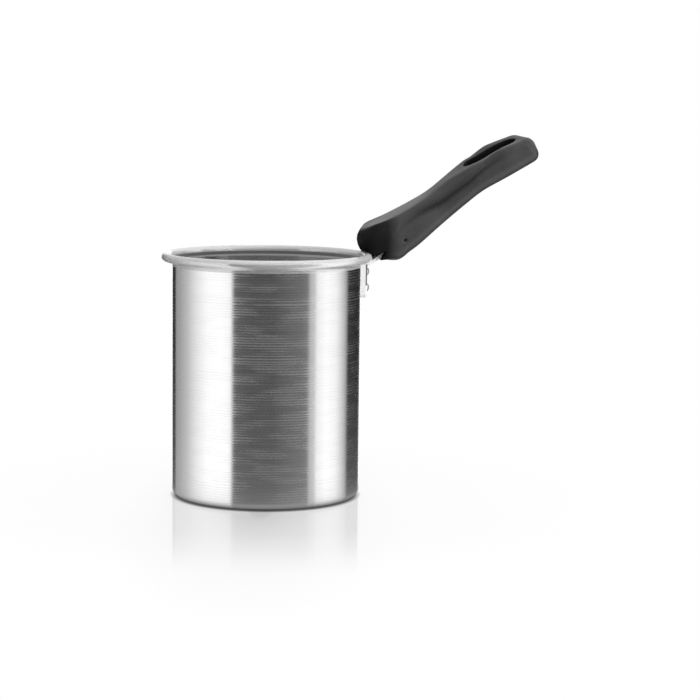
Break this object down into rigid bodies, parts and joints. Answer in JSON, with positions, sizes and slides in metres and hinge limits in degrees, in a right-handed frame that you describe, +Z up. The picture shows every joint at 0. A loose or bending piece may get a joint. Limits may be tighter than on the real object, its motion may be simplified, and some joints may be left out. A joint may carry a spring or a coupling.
{
  "type": "wax melting pot",
  "caption": "Tall round spun-metal wax-melting pot with a rolled rim and a raised black moulded handle on a riveted bracket.",
  "frame": {"origin": "centre of the pot's flat underside", "axes": "+Z up the pot's axis towards the open rim, +X towards the handle"},
  "size_m": [0.2038, 0.1114, 0.1916],
  "materials": {
    "spun_aluminium": "satin, fine turned lines",
    "bracket_steel": "bright pressed sheet",
    "rivet_metal": "plain",
    "black_phenolic": "satin moulded",
    "pin_steel": "dull"
  },
  "bodies": {
    "root": {"pot_body": "spun_aluminium", "handle_bracket": "bracket_steel", "rivet_upper": "rivet_metal", "rivet_lower": "rivet_metal", "handle_grip": "black_phenolic", "handle_pin": "pin_steel"}
  },
  "joints": []
}
